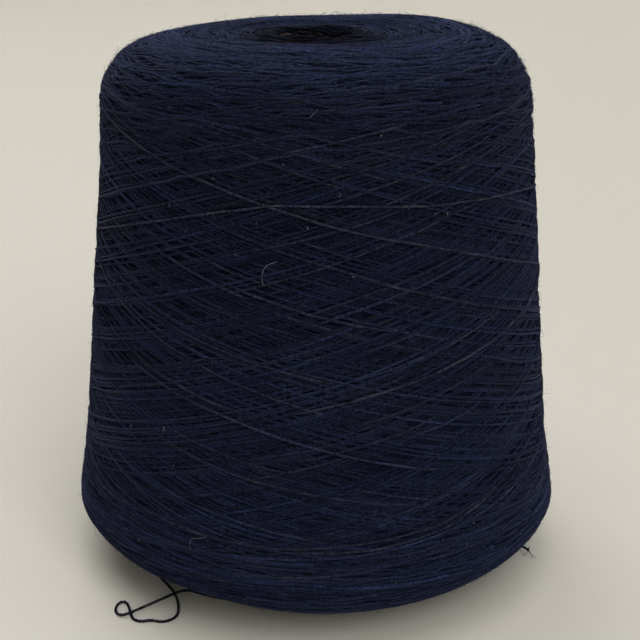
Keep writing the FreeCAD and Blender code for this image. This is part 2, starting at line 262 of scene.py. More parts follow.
# %% Paperboard material
STRIP = 85.0         # mm that the strip's edge climbs in one turn
SEAM = 0.02          # the share of a turn, about 3 mm, that the edge's shadow takes
FIBRES_ROUND = 8.0   # fibres to each radian, about 3 mm long; real ones are too short to show
FIBRE_HIGH = 0.8     # mm up the tube from fibre to fibre, drawn coarse for the same reason
board = new_material("rolled_paperboard")
place = add_node(board, "ShaderNodeTexCoord")
sides = add_node(board, "ShaderNodeSeparateXYZ", Vector=place.outputs["Object"])
round_it = maths(board, "ARCTAN2", sides.outputs["Y"], sides.outputs["X"])
climb = maths(board, "MULTIPLY", sides.outputs["Z"], 1 / (STRIP * MM))
from_edge = maths(board, "FRACT", maths(board, "MULTIPLY_ADD", round_it, 1 / FULL_TURN, climb))
seam = add_node(board, "ShaderNodeMapRange", {"clamp": True}, Value=from_edge,
                From_Min=0.0, From_Max=SEAM, To_Min=0.45, To_Max=1.0)
fibre_map = add_node(board, "ShaderNodeCombineXYZ", X=round_it, Y=sides.outputs["Z"])
fibre_scale = add_node(board, "ShaderNodeMapping", Vector=fibre_map.outputs[0],
                       Scale=(FIBRES_ROUND, 1 / (FIBRE_HIGH * MM), 1.0))
board_fibres = add_node(board, "ShaderNodeTexNoise", Vector=fibre_scale.outputs["Vector"],
                        Scale=1.0, Detail=4.0, Roughness=0.7)
board_tint = add_node(board, "ShaderNodeMix", {"data_type": "RGBA"},
                      in_0=board_fibres.outputs["Fac"],
                      in_6=linear("#2b2221"), in_7=linear("#483b37"))
board_colour = add_node(board, "ShaderNodeVectorMath", {"operation": "SCALE"},
                        in_0=board_tint.outputs[2], in_3=seam.outputs[0])
board_bump = add_node(board, "ShaderNodeBump", Strength=0.3, Distance=0.0001,
                      Height=board_fibres.outputs["Fac"])
add_shader(board, Base_Color=board_colour.outputs["Vector"], Normal=board_bump.outputs["Normal"],
           Roughness=0.8, Specular_IOR_Level=0.3)
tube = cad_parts["cone_tube"]
for i in range(len(tube.data.materials)):
    tube.data.materials[i] = board
print("paperboard on", tube.name)

# %% [markdown]
# ## Strands as tubes
# A strand is a curve with a round bevel, which Blender turns into a tube. One mesh holds many
# strands. The curve numbers its points along U and its sides along V, so the helper rewrites U as
# the length in millimetres, from a start of its own, and writes each strand's tone and painted
# sheen.

# %% Strand helper
MASS_SHEEN = 0.05          # the mean share of painted sheen from loose fibre ends on a strand that lies in the mass
STRAND_DYE, SPOT_DYE = 0.27, 0.22    # how unevenly dye takes, from strand to strand and along one
SPOT_SHEEN = 0.35     # how unevenly the painted sheen lies along a strand


def drift(count, every, spread):
    """A random value for each point that wanders smoothly, with a new aim at every so many."""
    aims = random.normal(0.0, spread, int(count / every) + 3)
    return np.interp(np.arange(count) / every, np.arange(len(aims)), aims)


def bevelled(paths, radius, level):
    """The mesh of round tubes along the paths, each a closed skin."""
    data = bpy.data.curves.new("strand_lines", "CURVE")
    data.dimensions = "3D"
    data.bevel_depth = radius
    data.bevel_resolution = level
    data.use_fill_caps = True
    for path in paths:
        spline = data.splines.new("POLY")
        spline.points.add(len(path) - 1)
        spline.points.foreach_set("co", np.column_stack([path, np.ones(len(path))]).ravel())
        spline.points.foreach_set("radius", 1.0 + np.clip(drift(len(path), 4, 0.1), -0.25, 0.25))
    line = bpy.data.objects.new("strand_lines", data)
    mesh = bpy.data.meshes.new_from_object(line)
    bpy.data.objects.remove(line)
    bpy.data.curves.remove(data)
    return mesh


def strands(name, paths, radius, level=1, material=None, tone=1.0, looks=None):
    """Round strands along the paths, in metres, as one piece.

    A look is the painted sheen of loose fibre ends and the painted light and shade, for each point
    of a path."""
    sides = 4 + 2 * level
    mesh = bevelled(paths, radius, level)
    mesh.name = name
    mesh.polygons.foreach_set("use_smooth", np.ones(len(mesh.polygons), bool))
    corners = np.zeros(len(mesh.loops) * 2)
    mesh.uv_layers[0].data.foreach_get("uv", corners)
    corners = corners.reshape(-1, 2)
    corner_tones = np.full(len(mesh.loops), tone)
    corner_sheens = np.zeros(len(mesh.loops))
    # The end caps' corners come first.
    at = len(mesh.loops) - 4 * sides * sum(len(path) - 1 for path in paths)
    corners[:at] = 0.0
    for i, path in enumerate(paths):
        end = at + 4 * sides * (len(path) - 1)
        steps = np.linalg.norm(np.diff(path, axis=0), axis=1)
        length = random.uniform(0.0, 900.0) + np.concatenate([[0.0], np.cumsum(steps)]) / MM
        number = np.rint(corners[at:end, 0] * (len(path) - 1)).astype(int)
        corners[at:end, 0] = length[number]
        own_sheen, light = (0.0, 1.0) if looks is None else looks[i]
        own = tone * light * np.exp(random.normal(0.0, STRAND_DYE) + drift(len(path), 3, SPOT_DYE))
        corner_tones[at:end] = own[number]
        own = light ** 0.5 * (own_sheen + random.exponential(MASS_SHEEN))
        own = own * np.exp(drift(len(path), 2, SPOT_SHEEN))
        corner_sheens[at:end] = own[number]
        at = end
    mesh.uv_layers[0].data.foreach_set("uv", corners.ravel())
    mesh.attributes.new("tone", "FLOAT", "CORNER").data.foreach_set("value", corner_tones)
    mesh.attributes.new("painted_sheen", "FLOAT", "CORNER").data.foreach_set("value", corner_sheens)
    piece = show(mesh, name)
    weld = piece.modifiers.new("close_ends", "WELD")
    weld.merge_threshold = 1e-7
    mesh.materials.append(material or navy_wool)
    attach(piece, "root")
    print("%s: %d strands, %d triangles" % (name, len(paths), 2 * len(mesh.polygons)))
    return piece


# %% [markdown]
# ## The loose tail
# The cord comes first, because its length is fixed. The yarn's free end leaves the reserve turns at
# the tube's foot, comes out at the front left, lies in a loop with a small eye, and goes back under
# the cone to end bare at the right. Its route is a NURBS line through the points listed below, the
# same as in the CAD source within a millimetre. Two plies are then twisted along that line. They
# are fuller and blacker than on the cone, because slack yarn opens and shows no lit mass behind it.

# %% The tail's line
TAIL_ROUTE = [
    (-33.9, 10.83, 1.2), (-39.12, -4.3, 1.2), (-46.8, -19.5, 0.9), (-53.2, -30.5, 1.0),
    (-48.9, -37.0, 0.6), (-44.9, -43.8, 0.6), (-42.9, -51.0, 0.6), (-42.6, -58.0, 0.6),
    (-46.9, -60.9, 0.6), (-50.4, -59.3, 0.6), (-54.0, -60.5, 0.6), (-56.6, -58.7, 0.6),
    (-58.0, -53.6, 0.6), (-59.7, -48.8, 0.6), (-62.2, -49.6, 0.6), (-62.7, -54.4, 0.6),
    (-60.2, -57.9, 1.0), (-56.3, -56.6, 1.9), (-51.6, -53.1, 2.3), (-46.4, -49.4, 2.9),
    (-41.0, -45.6, 3.2), (-35.6, -48.9, 3.2), (-28.5, -50.2, 2.2), (-16.0, -49.0, 0.6),
    (4.0, -50.2, 0.6), (26.0, -45.8, 0.6), (45.0, -36.0, 0.6), (57.0, -23.0, 0.9),
    (63.0, -13.2, 1.8), (68.6, -14.4, 2.4), (71.6, -19.4, 2.2),
]


def nurbs_line(points):
    """Points read from a smooth NURBS line whose control points are given in millimetres."""
    data = bpy.data.curves.new("route", "CURVE")
    data.dimensions = "3D"
    data.resolution_u = 24
    spline = data.splines.new("NURBS")
    spline.points.add(len(points) - 1)
    for point, place in zip(spline.points, points):
        point.co = (*(Vector(place) * MM), 1.0)
    spline.order_u = 3
    spline.use_endpoint_u = True
    line = bpy.data.objects.new("route", data)
    mesh = bpy.data.meshes.new_from_object(line)
    line_points = np.zeros(len(mesh.vertices) * 3)
    mesh.vertices.foreach_get("co", line_points)
    bpy.data.objects.remove(line)
    bpy.data.curves.remove(data)
    bpy.data.meshes.remove(mesh)
    return line_points.reshape(-1, 3)


def evenly(path, spacing):
    """The same line with its points a steady distance apart, in metres."""
    length = np.concatenate([[0.0], np.cumsum(np.linalg.norm(np.diff(path, axis=0), axis=1))])
    at = np.linspace(0.0, length[-1], max(2, int(round(length[-1] / spacing)) + 1))
    return np.column_stack([np.interp(at, length, path[:, axis]) for axis in range(3)])


def plies(path, offset, pitch):
    """Two lines that twist round the path, each an offset away from it."""
    way = np.gradient(path, axis=0)
    way /= np.linalg.norm(way, axis=1)[:, None]
    side = np.zeros_like(path)
    side[0] = np.cross(way[0], (0.0, 0.0, 1.0) if abs(way[0][2]) < 0.9 else (1.0, 0.0, 0.0))
    for i in range(1, len(path)):
        side[i] = side[i - 1] - way[i] * np.dot(side[i - 1], way[i])
    side /= np.linalg.norm(side, axis=1)[:, None]
    other = np.cross(way, side)
    length = np.concatenate([[0.0], np.cumsum(np.linalg.norm(np.diff(path, axis=0), axis=1))])
    angle = FULL_TURN * length / pitch
    out = side * np.cos(angle)[:, None] + other * np.sin(angle)[:, None]
    return path + offset * out, path - offset * out


TAIL_PLY, TAIL_TWIST = 0.24 * MM, 0.29 * MM     # a ply's radius, and its distance from the middle
FLOOR_GAP = 0.1 * MM     # no fibre of the tip goes lower than this above the table
tail_line = evenly(nurbs_line(TAIL_ROUTE), 0.25 * MM)
# Tone 0.2 paints the tail darker than the yarn on the cone: painted shade.
tail = strands("loose_tail_yarn", plies(tail_line, TAIL_TWIST, PLY_PITCH * MM), TAIL_PLY, tone=0.2)
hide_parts("loose_tail")
away = (tail_line[-1] - tail_line[-3]) / np.linalg.norm(tail_line[-1] - tail_line[-3])
frays = []
for i in range(14):
    spread = random.normal(0.0, 0.5, 3)
    reach = np.linspace(0.0, random.uniform(0.8, 2.4), 5)[:, None] * MM
    fray = (tail_line[-1] - 0.8 * MM * away + random.normal(0.0, 0.12, 3) * MM
            + reach * (away + spread * reach / (2 * MM)))
    frays.append(np.column_stack([fray[:, :2], np.maximum(fray[:, 2], FLOOR_GAP)]))
# Tone 0.4 paints the frayed tip darker too: painted shade.
frayed_tip = strands("loose_tail_frayed_tip", frays, 0.07 * MM, 0, tone=0.4)

# %% [markdown]
# ## The skin of the wound package
# The package is a solid of revolution with soft corners: a dished underside, a tight lower
# shoulder, a flank that leans in, a broad upper shoulder and a shallow crater round the tube. The
# half outline below, radius and height in millimetres, was read off the photograph's silhouette.
# Its two shoulders are superellipse arcs. Where the real outline departs from a solid of
# revolution, a few broad dents and swellings follow it. Strands are laid on this skin by two
# numbers, the angle round the axis and the distance along the outline, and lie in or out of it by
# a height.

# %% The skin
bend = np.linspace(0.0, math.pi / 2, 41)
lower_shoulder = np.column_stack([69.2 + 10.8 * np.sin(bend) ** 1.55,
                                  22.2 - 12.7 * np.cos(bend) ** 1.55])
upper_shoulder = np.column_stack([40.3 + 27.0 * np.cos(bend) ** 0.76,
                                  147.2 + 24.8 * np.sin(bend) ** 0.76])
UNDERSIDE = [(35.7, 11.9), (40.0, 11.6), (50.0, 10.8), (60.0, 9.9)]
FLANK = [(76.7, 43.0), (74.5, 63.9), (72.4, 84.7), (70.6, 105.6), (68.9, 126.4)]
CRATER = [(34.0, 171.7), (28.0, 170.9), (23.0, 170.0), (19.5, 169.6), (17.9, 169.3)]
outline = np.vstack([UNDERSIDE, lower_shoulder, FLANK, upper_shoulder, CRATER])


def running(values, half, how):
    """The mean or the highest of each value's neighbours on both sides."""
    padded = np.pad(values, half, mode="edge")
    return how(np.lib.stride_tricks.sliding_window_view(padded, 2 * half + 1), axis=1)


outline_steps = np.linalg.norm(np.diff(outline, axis=0), axis=1)
outline_length = np.concatenate([[0.0], np.cumsum(outline_steps)])
SKIN_END = float(outline_length[-1])
skin_at = np.arange(0.0, SKIN_END, 0.25)
skin = np.column_stack([running(np.interp(skin_at, outline_length, outline[:, i]), 8, np.mean)
                        for i in (0, 1)])
skin_way = np.gradient(skin, axis=0)
skin_way /= np.linalg.norm(skin_way, axis=1)[:, None]


DENTS = [            # the middle in degrees and in mm along, how wide in each, and mm out
    (150.0, 206.0, 31.0, 13.0, -1.5),     # the back rim has sagged on the left
    (38.0, 206.0, 24.0, 12.0, 1.0),       # and stands a little higher on the right
    (8.0, 186.0, 14.0, 8.0, -0.9),        # above a slacker right shoulder
    (-45.0, 42.0, 36.0, 12.0, 0.7),       # the foot bulges at the front right
    (182.0, 150.0, 26.0, 18.0, -0.7),     # the left flank is a little hollow
    (-118.0, 35.0, 14.0, 10.0, -0.8),     # and so is the foot above the tail
]


def unevenness(angle, along):
    """Soft hollows and swellings of the package, in mm."""
    swell = 0.16 * np.sin(2 * angle + 1.1) * np.sin(along / 17.0)
    swell += 0.14 * np.sin(3 * angle - along / 31.0 + 0.4) + 0.1 * np.sin(5 * angle + along / 13.0)
    for degrees, middle, wide, high, out in DENTS:
        off = ((angle - math.radians(degrees) + math.pi) % FULL_TURN - math.pi) / math.radians(wide)
        swell = swell + out * np.exp(-(off ** 2 + ((along - middle) / high) ** 2) / 2)
    return swell


def on_skin(angle, along, height):
    """Points in metres at an angle, a distance along the skin and a height above it."""
    lift = height + unevenness(angle, along)
    out = np.interp(along, skin_at, skin[:, 0]) + lift * np.interp(along, skin_at, skin_way[:, 1])
    up = np.interp(along, skin_at, skin[:, 1]) - lift * np.interp(along, skin_at, skin_way[:, 0])
    return np.column_stack([out * np.cos(angle), out * np.sin(angle), up]) * MM


print("the skin is %.0f mm from its inner edge below to the nose" % SKIN_END)

# %% [markdown]
# ## The core
# Only the outer three or four layers of yarn can be seen, so what lies under them is one plain
# body of revolution: the skin's outline, drawn in by the depth of those layers and closed along
# the tube, and spun round the axis. It stops light from shining through the gaps.

# %% Core
CORE_DEPTH = 1.1     # mm under the skin
TUBE_GAP = 0.2       # mm between the core and the tube
FOOT_RADIUS, NOSE_RADIUS, NOSE = 35.0, 17.3, 170.0    # mm: the tube's outer radii, and its height


def tube_outside(height):
    """The paper tube's outer radius at a height, in mm."""
    return FOOT_RADIUS + (NOSE_RADIUS - FOOT_RADIUS) * height / NOSE


ring_at = np.linspace(1.0, SKIN_END - 1.0, 150)
none = np.zeros(150)
inwards = on_skin(none, ring_at, none - CORE_DEPTH) - on_skin(none, ring_at, none)
flat_r = np.interp(ring_at, skin_at, skin[:, 0]) * MM
flat_z = np.interp(ring_at, skin_at, skin[:, 1]) * MM
core_line = [(r + dr, z + dz) for r, z, (dr, _, dz) in zip(flat_r, flat_z, inwards)]
for height in np.linspace(core_line[-1][1] / MM, core_line[0][1] / MM, 12):
    core_line.append(((tube_outside(height) + TUBE_GAP) * MM, height * MM))
core_shape = spun(core_line, 180)
for vert in core_shape.verts:
    radius = math.hypot(vert.co.x, vert.co.y)
    angle = math.atan2(vert.co.y, vert.co.x)
    near = int(np.argmin(np.hypot(flat_r - radius, flat_z - vert.co.z)))
    if math.hypot(flat_r[near] - radius, flat_z[near] - vert.co.z) < 3 * MM:
        lift = float(unevenness(angle, ring_at[near])) * MM
        out = np.interp(ring_at[near], skin_at, skin_way[:, 1]) * lift
        vert.co += Vector((math.cos(angle) * out, math.sin(angle) * out,
                           -np.interp(ring_at[near], skin_at, skin_way[:, 0]) * lift))
bmesh.ops.recalc_face_normals(core_shape, faces=core_shape.faces)
print("core: %d faces" % len(core_shape.faces))
core = mesh_from(core_shape, "yarn_core")
core.data.materials.append(navy_wool)
core.data.attributes.new("tone", "FLOAT", "POINT").data.foreach_set(
    "value", np.full(len(core.data.vertices), 0.9))
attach(core, "root")
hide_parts("yarn_body")

# %% [markdown]
# ## Laying strands
# On the winding machine each new length of yarn comes to rest on what is there already, bridges the
# hollows and is pressed into the mass by the tension. The same is done here on a height map of the
# skin: each strand reads the map under it, settles on the highest place below its width, is
# smoothed along its length, and then raises the map. This gives true overs and unders at thousands
# of crossings without any solver.

# %% Height map
AROUND = 1280        # cells round the package, about 0.4 mm each
CELL = 0.2           # mm, the cells' size along the skin
RADIUS = 0.34        # mm, half the yarn, drawn a little thinner than slack yarn by its tension
SQUASH = 0.22        # mm by which two crossing strands flatten
BRIDGE = 2.2         # mm to each side over which a strand bridges the hollows below it
STEP = FULL_TURN / AROUND
FOOT = [(side, math.sqrt(max(0.0, RADIUS ** 2 - (side * CELL) ** 2))) for side in (-1, 0, 1)]
heap = np.zeros((AROUND, int(SKIN_END / CELL) + 8))


def heap_level():
    """How high the yarn has piled up at each distance along the skin, on average."""
    return running(heap.mean(axis=0), 12, np.mean)


def lay(angle, along, level, press=0.15, sink=0.3):
    """The height of a strand's middle where it settles; the heap grows by it.

    The tension lets no strand stand more than press above the mass's level, or lie more than sink
    below it."""
    out = np.interp(along, skin_at, skin[:, 0])
    stride = float(np.mean(np.hypot(out[1:] * np.diff(angle), np.diff(along))))
    half = max(1, int(round(BRIDGE / stride)))
    column = np.rint(angle / STEP).astype(int) % AROUND
    row = np.clip(np.rint(along / CELL).astype(int), 2, heap.shape[1] - 3)
    rest = np.max([heap[column, row + side] + up for side, up in FOOT], axis=0) - SQUASH
    rest = np.clip(rest, level[row] - sink, level[row] + press)
    middle = running(running(rest, max(1, half // 2), np.max), half, np.mean)
    for side, up in FOOT:
        np.maximum.at(heap, (column, row + side), middle + up)
    return middle


# %% [markdown]
# ## The ends of the inner layers
# The crater and the underside are made of the turns of older layers, where the traverse stopped
# and turned back. Each such turn lies nearly along a circle, so short arcs do for them. They are
# slack there, so they waver and slide together into bunches.

# %% Arcs on the two ends
WAVER_EVERY = 4.5    # mm of strand from one change of its wandering to the next
ARC_SPAN = 1.7       # radians to each side of the place where an arc turns back
ARC_CLIMB = 21.3     # mm along the skin for each radian, before the strand starts to turn back
ARC_PROUD = 0.15     # how much a slack turn stands out, on the scale that the next steps use
ENDS = [(238.5, 212.0, 330, 1), (5.0, 30.0, 170, -1)]    # from, to, how many, which way they bow


def waver(angle, along, spread):
    """The small wandering of a slack strand, in mm along the skin."""
    out = np.interp(along, skin_at, skin[:, 0])
    travelled = np.concatenate([[0.0], np.cumsum(out[1:] * np.diff(angle))])
    aims = random.normal(0.0, spread, int(travelled[-1] / WAVER_EVERY) + 3)
    return np.interp(travelled / WAVER_EVERY, np.arange(len(aims)), aims)


WAVES = [(random.normal(0.0, 9.0), random.normal(0.0, 0.6), random.uniform(0.0, FULL_TURN))
         for i in range(30)]


def bunching(angle, along):
    """How far neighbouring strands slide together along the skin into bunches, in mm."""
    return 0.2 * sum(np.sin(round(a) * angle + b * along + c) for a, b, c in WAVES)


level = heap_level()
arcs = []
for first, last, count, bow in ENDS:
    for i in range(count):
        turn = np.arange(-ARC_SPAN, ARC_SPAN, STEP)
        apex = first + (last - first) * i / count + random.normal(0.0, 2.0)
        along = apex - bow * ARC_CLIMB * turn ** 2 / (2 * random.uniform(1.4, 2.4))
        turn = turn + random.uniform(0.0, FULL_TURN)
        along = along + waver(turn, along, 0.35) + bunching(turn, along)
        along = np.clip(along, 1.0, SKIN_END - 1.5)
        arcs.append((turn, along, lay(turn, along, level, 0.3, 0.45), ARC_PROUD))
        level = heap_level()
print("arcs: %d, the crest has grown by %.1f mm" % (len(arcs), level[int(218 / CELL)]))

# %% [markdown]
# ## The cross winding
# The traverse guide runs up and down at a steady speed while the cone turns, so the strand climbs
# at a constant slope, about 17 degrees off level, and rounds off where it turns back. One sweep
# takes about 1.7 turns at first and 1.1 at last, a little more or less each time, so that no two
# strands lie side by side for long. As the package grows the traverse gets shorter, so each layer
# turns back a little before the last. That is why the shoulders show nothing but nearly level
# turns, and the flank shows a lattice. A few of the last strands lie slack and stand proud. On the
# side that the camera sees, those are left for the next step.

# %% One strand, up and down
SWEEPS = 640
FRESH = 580          # the sweeps after this one stand proud at the back and the sides
SIDE = 42.0          # degrees from the middle of the seen side to where that starts
SOFT = 16.0          # degrees on which it grows
CLIMB = 21.9         # mm along the skin for each radian, which is 17 degrees off level
TOP_TURN, TOP_SHRINK = 217.0, 34.0      # mm along where the first sweeps turn back at the top, and
FOOT_TURN, FOOT_SHRINK = 27.0, 37.0     # at the foot, and how much shorter the last ones stop
angle_now = 0.0
rounding, corner = 1.2, FOOT_TURN
sweeps = []


def out_of_sight(angle):
    """0 on the side that the camera sees, 1 on the others, with a soft change."""
    off = np.abs((angle + math.pi / 2 + math.pi) % FULL_TURN - math.pi)
    return np.clip((np.degrees(off) - SIDE) / SOFT, 0.0, 1.0)


for i in range(SWEEPS):
    age = i / SWEEPS
    rising = i % 2 == 0
    next_rounding = random.uniform(1.0, 2.6) if rising else random.uniform(0.7, 2.2)
    bound = TOP_TURN - TOP_SHRINK * age if rising else FOOT_TURN + FOOT_SHRINK * age
    spare = random.normal(0.0, 1.6)
    rise_guess = 22.0 * next_rounding / 2
    next_corner = bound + spare + rise_guess if rising else bound + spare - rise_guess
    reach = abs(next_corner - corner) / CLIMB + random.normal(0.0, 0.3)
    turn = np.arange(0.0, reach, STEP)
    rise = (next_corner - corner) / reach
    along = corner + rise * turn + rise * np.maximum(rounding - turn, 0.0) ** 2 / (2 * rounding)
    along -= rise * np.maximum(next_rounding - reach + turn, 0.0) ** 2 / (2 * next_rounding)
    slack = np.interp(along, (30.0, 56.0, 160.0, 185.0), (0.3, 0.07, 0.07, 0.35))
    along = along + slack * (waver(turn, along, 1.0) + 1.6 * bunching(angle_now + turn, along))
    along = np.clip(along, 1.0, SKIN_END - 1.5)
    rounding, corner = next_rounding, next_corner
    proud = out_of_sight(angle_now + turn) * (i > FRESH)
    height = lay(angle_now + turn, along, level, 0.15 + 0.2 * proud, 0.3 - 0.3 * proud)
    sweeps.append((angle_now + turn, along, height, 0.45 * proud + 0.5 * (slack - 0.07)))
    angle_now += reach
    if i % 4 == 3:
        level = heap_level()
print("one strand: %d sweeps in %.0f turns" % (SWEEPS, angle_now / FULL_TURN))

# %% [markdown]
# ## The strands that stand out
# About sixty stretches of strand stand out on the side that the photograph shows. Each was followed
# there and is written as a few places on the skin, the angle in degrees and the distance
# along the outline in millimetres. They are laid last, proud of the mass. Where such a stretch
# ends, later turns cross over it, so its ends dive out of sight. The first number says how much it
# stands out.

# %% Strands followed in the photograph
PROUD = [
    (0.4, [(-72, 182.6), (-62, 179.4)]),
    (0.5, [(-95, 177.3), (-73, 182.7)]),
    (0.4, [(-71, 176.5), (-52, 182.2)]),
    (0.4, [(-118, 175.6), (-97, 181.1)]),
    (0.5, [(-68, 175.5), (-51, 181.1)]),
    (0.5, [(-91, 181.2), (-77, 177.1), (-62, 172.9)]),
    (0.6, [(-105, 175.7), (-87, 168.5)]),
    (0.5, [(-103, 164.2), (-87, 169.7), (-70, 174.6)]),
    (0.5, [(-72, 163.1), (-58, 168.4), (-43, 173.7)]),
    (0.4, [(-67, 161.9), (-52, 167.9)]),
    (0.5, [(-84, 156.0), (-71, 160.2)]),
    (0.4, [(-60, 157.0), (-51, 159.0)]),
    (0.6, [(-72, 152.2), (-64, 154.9)]),
    (0.6, [(-100, 151.2), (-87, 155.1)]),
    (0.6, [(-113, 156.2), (-100, 150.9), (-87, 145.8)]),
    (0.5, [(-91, 152.1), (-83, 148.6)]),
    (0.6, [(-108, 138.1), (-91, 144.7), (-74, 151.3)]),
    (0.5, [(-172, 129.9), (-152, 137.4), (-134, 144.2), (-116, 151.2)]),
    (0.4, [(-113, 145.1), (-104, 141.6)]),
    (0.6, [(-72, 139.8), (-54, 146.2)]),
    (0.5, [(-67, 138.1), (-51, 144.0)]),
    (0.5, [(-89, 133.6), (-76, 138.7)]),
    (0.5, [(-54, 132.9), (-38, 139.0)]),
    (0.5, [(-86, 131.4), (-70, 137.6)]),
    (0.4, [(-65, 129.4), (-58, 131.7)]),
    (0.6, [(-115, 132.7), (-98, 127.9)]),
    (0.5, [(-90, 120.4), (-76, 125.6)]),
    (0.5, [(-59, 120.0), (-43, 125.5)]),
    (0.5, [(-136, 129.6), (-121, 124.0), (-105, 118.7), (-89, 113.8)]),
    (0.4, [(-78, 114.5), (-61, 119.5)]),
    (0.5, [(-81, 109.7), (-65, 114.8)]),
    (0.4, [(-50, 115.5), (-34, 107.4)]),
    (0.4, [(-132, 111.2), (-110, 104.1)]),
    (0.6, [(-67, 104.6), (-49, 110.5)]),
    (0.6, [(-136, 110.3), (-113, 102.3)]),
    (0.6, [(-77, 101.5), (-68, 104.2)]),
    (0.4, [(-38, 99.3), (-31, 103.0)]),
    (0.4, [(-76, 108.8), (-55, 100.3), (-34, 91.9)]),
    (0.6, [(-62, 97.0), (-54, 99.0)]),
    (0.4, [(-91, 91.0), (-68, 98.0)]),
    (0.5, [(-102, 90.5), (-87, 95.1)]),
    (0.6, [(-121, 93.4), (-102, 87.9)]),
    (0.5, [(-102, 84.6), (-89, 89.3)]),
    (0.5, [(-78, 80.4), (-64, 75.3)]),
    (0.5, [(-76, 71.8), (-51, 78.2)]),
    (0.6, [(-123, 74.6), (-107, 70.8), (-90, 66.4)]),
    (0.5, [(-91, 62.9), (-76, 63.1), (-60, 65.9), (-45, 72.5)]),
    (0.7, [(-113, 182.3), (-94, 176.6), (-76, 170.0)]),
    (0.8, [(-87, 163.2), (-68, 169.8), (-48, 175.8)]),
    (0.7, [(-128, 145.8), (-109, 137.9)]),
    (0.8, [(-84, 144.9), (-66, 136.8), (-47, 129.1), (-29, 122.2), (-8, 114.2)]),
    (0.8, [(-105, 137.8), (-90, 132.2), (-75, 127.5)]),
    (0.8, [(-76, 122.6), (-70, 124.3)]),
    (0.8, [(-165, 137.0), (-145, 128.1), (-127, 119.8), (-109, 112.2), (-91, 105.2)]),
    (0.8, [(-111, 101.9), (-96, 96.4), (-81, 90.8), (-66, 85.4)]),
    (0.8, [(-123, 89.6), (-106, 84.3), (-89, 80.0), (-71, 75.5)]),
    (0.8, [(-168, 76.0), (-150, 70.4), (-133, 66.9), (-115, 64.7), (-97, 63.9), (-79, 65.1),
           (-62, 67.2), (-44, 73.4), (-26, 81.3), (-6, 90.0)]),
    (1.0, [(-168, 183.3), (-151, 179.0), (-134, 173.5), (-116, 167.6), (-98, 161.3), (-81, 155.2),
           (-63, 149.7), (-46, 143.5), (-28, 136.6), (-7, 128.5)]),
    (1.0, [(-174, 140.0), (-153, 147.0), (-135, 152.9), (-117, 158.6), (-100, 162.8), (-82, 162.5),
           (-64, 161.0), (-46, 160.1), (-29, 158.8), (-8, 155.0)]),
    (1.0, [(-91, 105.1), (-76, 109.4), (-61, 113.3), (-45, 117.6), (-30, 122.3), (-9, 129.0)]),
]
DIVE = 9.0           # degrees on which each end goes out of sight
proud_strands = []
for proud, places in PROUD:
    at, along_at = np.array(places, float).T
    degrees = np.arange(at[0] - DIVE, at[-1] + DIVE, math.degrees(STEP))
    ends = along_at[[0, -1]] + DIVE * np.array([-1, 1]) * (np.diff(along_at) / np.diff(at))[[0, -1]]
    along = np.interp(degrees, np.concatenate([[at[0] - DIVE], at, [at[-1] + DIVE]]),
                      np.concatenate([ends[:1], along_at, ends[1:]]))
    along = running(along, 10, np.mean) + 0.07 * waver(np.radians(degrees), along, 1.0)
    past = np.maximum(at[0] - degrees, degrees - at[-1])
    press = np.interp(past, (0.0, DIVE / 2), (0.15 + 0.35 * proud, -0.8))
    height = lay(np.radians(degrees), along, level, press, -0.1 * proud)
    proud_strands.append((np.radians(degrees), along, height, proud))
top = running(heap.mean(axis=0), 30, np.mean)
print("proud strands: %d" % len(proud_strands))
print("heap: %.1f mm at the middle, %.1f mm at the shoulder"
      % (top[int(110 / CELL)], top[int(190 / CELL)]))

# %% [markdown]
# ## From laid strands to tubes
# The heap's own average is taken off, so that the finished surface meets the outline that the
# photograph gives. Points each 4 mm are plenty for tubes this thin. Runs that lie inside the core
# can't be seen and aren't drawn. The lower layers get four sides and the upper ones six, because
# nothing finer shows. Towards the two ends of the package the yarn is slack and fuzzy, and its
# colour is painted lighter there, as painted light: the crest and the foot get more light than the
# lamps give.

# %% Strand pieces
SINK = 0.2           # mm: the outline touches the highest strands, not their mean
PROUD_SHEEN = 0.26    # the share of painted sheen from loose fibre ends on a strand that stands right out
PIECE_LIMIT = 185000     # triangles in one piece at most, because one mesh file holds 200,000
UNDER = -0.6         # mm of mean depth below which a run is drawn with four sides
PAINTED_LIGHT = [        # mm along, and how much lighter the colour is painted there, as painted light
    (35.0, 2.1), (50.0, 1.6), (60.0, 1.5), (85.0, 1.32), (110.0, 1.2), (150.0, 1.04),
    (176.0, 1.1), (190.0, 1.15), (205.0, 2.8), (216.0, 3.9), (226.0, 2.4),
]


def seen_runs(angle, along, middle, proud, every):
    """The runs of a laid strand that aren't inside the core, with their look and mean depth."""
    keep = np.unique(np.append(np.arange(0, len(angle), every), len(angle) - 1))
    depth = (middle - np.interp(along, np.arange(len(top)) * CELL, top) - SINK)[keep]
    points = on_skin(angle[keep], along[keep], depth)
    sheens = PROUD_SHEEN * np.broadcast_to(proud, angle.shape)[keep]
    light = np.interp(along[keep], *zip(*PAINTED_LIGHT))
    seen = depth > -CORE_DEPTH - 0.1
    ends = np.flatnonzero(np.diff(np.concatenate([[False], seen, [False]]).astype(int)))
    return [(points[a:b], (sheens[a:b], light[a:b]), float(depth[a:b].mean()))
            for a, b in zip(ends[::2], ends[1::2]) if b - a > 3]


def in_pieces(name, runs, sides):
    """Pieces of the runs, each under the triangle limit, as the list of them."""
    pieces, group, size = [], [], 0
    for run in runs + [None]:
        if run is None or size + len(run[0]) * 2 * sides > PIECE_LIMIT:
            paths, looks = [path for path, _, _ in group], [look for _, look, _ in group]
            pieces.append(strands("%s_%d" % (name, len(pieces) + 1), paths, RADIUS * MM,
                                  (sides - 4) // 2, looks=looks))
            group, size = [], 0
        if run is not None:
            group.append(run)
            size += len(run[0]) * 2 * sides
    return pieces


